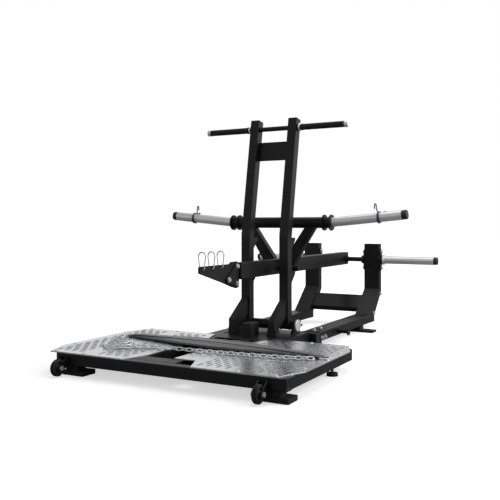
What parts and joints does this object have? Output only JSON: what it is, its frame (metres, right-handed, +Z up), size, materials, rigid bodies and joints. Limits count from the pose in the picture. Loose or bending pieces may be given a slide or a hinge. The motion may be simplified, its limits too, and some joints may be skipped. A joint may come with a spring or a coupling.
{
  "type": "lever belt squat machine",
  "caption": "Plate-loaded lever belt squat machine: studded platform with belt slot, tilting handle tower, weighted lever and hip belt with chain.",
  "frame": {"origin": "bottom centre of the whole machine, on the floor", "axes": "+X right along the platform's front edge, +Y from the platform back to the lever pivot, +Z up"},
  "size_m": [1.438, 2.268, 1.238],
  "materials": {
    "black_steel": "satin black powder coat",
    "tread_alu": "bright embossed tread",
    "satin_steel": "satin chrome",
    "zinc": "bright zinc",
    "rubber": "matt rubber",
    "plastic": "black plastic cap",
    "wire": "spring wire",
    "webbing": "padded nylon"
  },
  "bodies": {
    "frame": {"front_beam": "black_steel", "rear_beam": "black_steel", "side_beams": "black_steel", "slot_beams": "black_steel", "deck_ribs": "black_steel", "slot_tray": "black_steel", "tread_plate_left": "tread_alu", "tread_plate_right": "tread_alu", "tread_screws": "zinc", "front_feet": "rubber", "levelling_feet": "rubber", "wheel_brackets": "black_steel", "wheel_axles": "zinc", "base_plate": "black_steel", "cross_beam": "black_steel", "floor_rails": "black_steel", "upright_left": "black_steel", "upright_right": "black_steel", "rear_cross_beam": "black_steel", "rear_feet": "rubber", "frame_bolts": "zinc", "band_pegs": "black_steel", "flange_bearings": "black_steel", "storage_horns": "satin_steel", "storage_horn_caps": "plastic", "tower_ears": "black_steel", "tower_axle": "satin_steel", "tower_stops": "rubber", "bump_stop": "rubber"},
    "tower": {"pivot_sleeve": "black_steel", "post_left": "black_steel", "post_right": "black_steel", "tower_braces": "black_steel", "rack_catches": "black_steel", "cross_plate": "black_steel", "handle_bar": "black_steel", "bar_grips": "rubber", "bar_end_caps": "satin_steel"},
    "lever": {"lever_beam": "black_steel", "pivot_shaft": "black_steel", "rack_bar": "black_steel", "tongue_plate": "black_steel", "hook_plate": "black_steel", "hook_bolts": "zinc", "lever_struts": "black_steel", "weight_tube": "black_steel", "weight_horns": "satin_steel", "weight_horn_caps": "plastic"},
    "wheel_left": {"wheel_left": "rubber"},
    "wheel_right": {"wheel_right": "rubber"},
    "collar_left": {"spring_collar_left": "wire"},
    "collar_right": {"spring_collar_right": "wire"},
    "belt": {"belt_pad": "webbing", "belt_chain": "zinc"},
    "snap_hook_1": {"snap_hook_1": "zinc"},
    "snap_gate_1": {"snap_gate_1": "zinc"},
    "snap_hook_2": {"snap_hook_2": "zinc"},
    "snap_gate_2": {"snap_gate_2": "zinc"},
    "snap_hook_3": {"snap_hook_3": "zinc"},
    "snap_gate_3": {"snap_gate_3": "zinc"}
  },
  "joints": [
    {"name": "tower_tilt", "type": "hinge", "parent": "frame", "child": "tower", "pos_m": [0, -0.039, 0.133], "axis": [-1, 0, 0], "range_deg": [0, 6]},
    {"name": "lever_swing", "type": "hinge", "parent": "frame", "child": "lever", "pos_m": [0, 1.089, 0.428], "axis": [-1, 0, 0], "range_deg": [-9, 25]},
    {"name": "wheel_left_spin", "type": "hinge", "parent": "frame", "child": "wheel_left", "pos_m": [-0.478, -1.097, 0.039], "axis": [1, 0, 0], "continuous": true},
    {"name": "wheel_right_spin", "type": "hinge", "parent": "frame", "child": "wheel_right", "pos_m": [0.51, -1.097, 0.039], "axis": [1, 0, 0], "continuous": true},
    {"name": "collar_left_slide", "type": "slide", "parent": "lever", "child": "collar_left", "axis": [-0.9954, 0, 0.0958], "range_m": [-0.22, 0.1]},
    {"name": "collar_right_slide", "type": "slide", "parent": "lever", "child": "collar_right", "axis": [0.9954, 0, 0.0958], "range_m": [-0.22, 0.1]},
    {"name": "belt_lift", "type": "slide", "parent": "frame", "child": "belt", "axis": [0, 0, 1], "range_m": [0, 0.12]},
    {"name": "snap_hook_1_swing", "type": "hinge", "parent": "lever", "child": "snap_hook_1", "pos_m": [0, -0.679, 0.455], "axis": [1, 0, 0], "range_deg": [0, 60]},
    {"name": "snap_gate_1_swing", "type": "hinge", "parent": "snap_hook_1", "child": "snap_gate_1", "pos_m": [0.01426, -0.679, 0.48087], "axis": [0, -1, 0], "range_deg": [0, 18], "stiffness_Nm_per_rad": 0.05},
    {"name": "snap_hook_2_swing", "type": "hinge", "parent": "lever", "child": "snap_hook_2", "pos_m": [0, -0.597, 0.455], "axis": [1, 0, 0], "range_deg": [0, 60]},
    {"name": "snap_gate_2_swing", "type": "hinge", "parent": "snap_hook_2", "child": "snap_gate_2", "pos_m": [0.01426, -0.597, 0.48087], "axis": [0, -1, 0], "range_deg": [0, 18], "stiffness_Nm_per_rad": 0.05},
    {"name": "snap_hook_3_swing", "type": "hinge", "parent": "lever", "child": "snap_hook_3", "pos_m": [0, -0.515, 0.455], "axis": [1, 0, 0], "range_deg": [0, 60]},
    {"name": "snap_gate_3_swing", "type": "hinge", "parent": "snap_hook_3", "child": "snap_gate_3", "pos_m": [0.01426, -0.515, 0.48087], "axis": [0, -1, 0], "range_deg": [0, 18], "stiffness_Nm_per_rad": 0.05}
  ]
}
